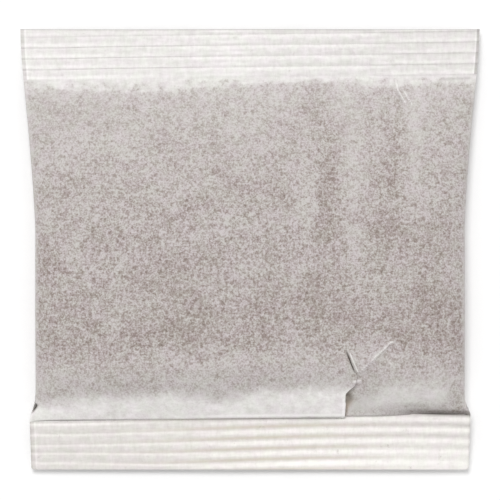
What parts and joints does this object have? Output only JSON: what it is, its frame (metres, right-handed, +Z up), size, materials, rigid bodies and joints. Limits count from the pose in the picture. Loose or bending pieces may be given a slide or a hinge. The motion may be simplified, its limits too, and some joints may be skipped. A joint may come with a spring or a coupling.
{
  "type": "coffee filter pack",
  "caption": "Sealed pillow of bleached filter paper filled with ground coffee, with crimped seals at both ends, for dropping into a flat-bottomed brew basket.",
  "frame": {"origin": "on the table, under the middle of the pack's bounding box", "axes": "+Z up, out of the front of the pack that lies on its back; +Y towards the top seal; +X to the right of the front, across the pack"},
  "size_m": [0.108, 0.1038, 0.0113],
  "materials": {
    "filter_paper": "matt bleached filter paper, tinted grey-brown where coffee lies behind it"
  },
  "bodies": {
    "root": {"filter_pack": "filter_paper"}
  },
  "joints": []
}
